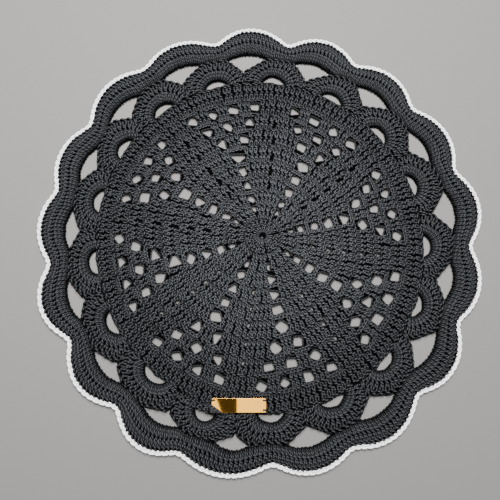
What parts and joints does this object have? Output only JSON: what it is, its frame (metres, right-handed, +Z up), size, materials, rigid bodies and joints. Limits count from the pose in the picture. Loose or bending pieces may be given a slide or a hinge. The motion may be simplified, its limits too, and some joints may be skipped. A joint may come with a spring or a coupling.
{
  "type": "crochet placemat",
  "caption": "Round openwork crochet placemat with mesh wedges, two rows of arches, a scalloped contrasting edging and a small metal plate.",
  "frame": {"origin": "middle of the outline, on the surface that the mat lies on", "axes": "+Z up through the mat, +Y away from the small plate, towards the opposite edge"},
  "size_m": [0.3632, 0.371, 0.0069],
  "materials": {
    "charcoal_yarn": "matte cotton cord, worked in double crochet",
    "white_yarn": "matte cotton cord, a chain along the edge",
    "copper": "polished rose-copper metal, left bare"
  },
  "bodies": {
    "root": {"crochet_mat": "charcoal_yarn", "white_edging": "white_yarn", "label_plate": "copper"}
  },
  "joints": []
}
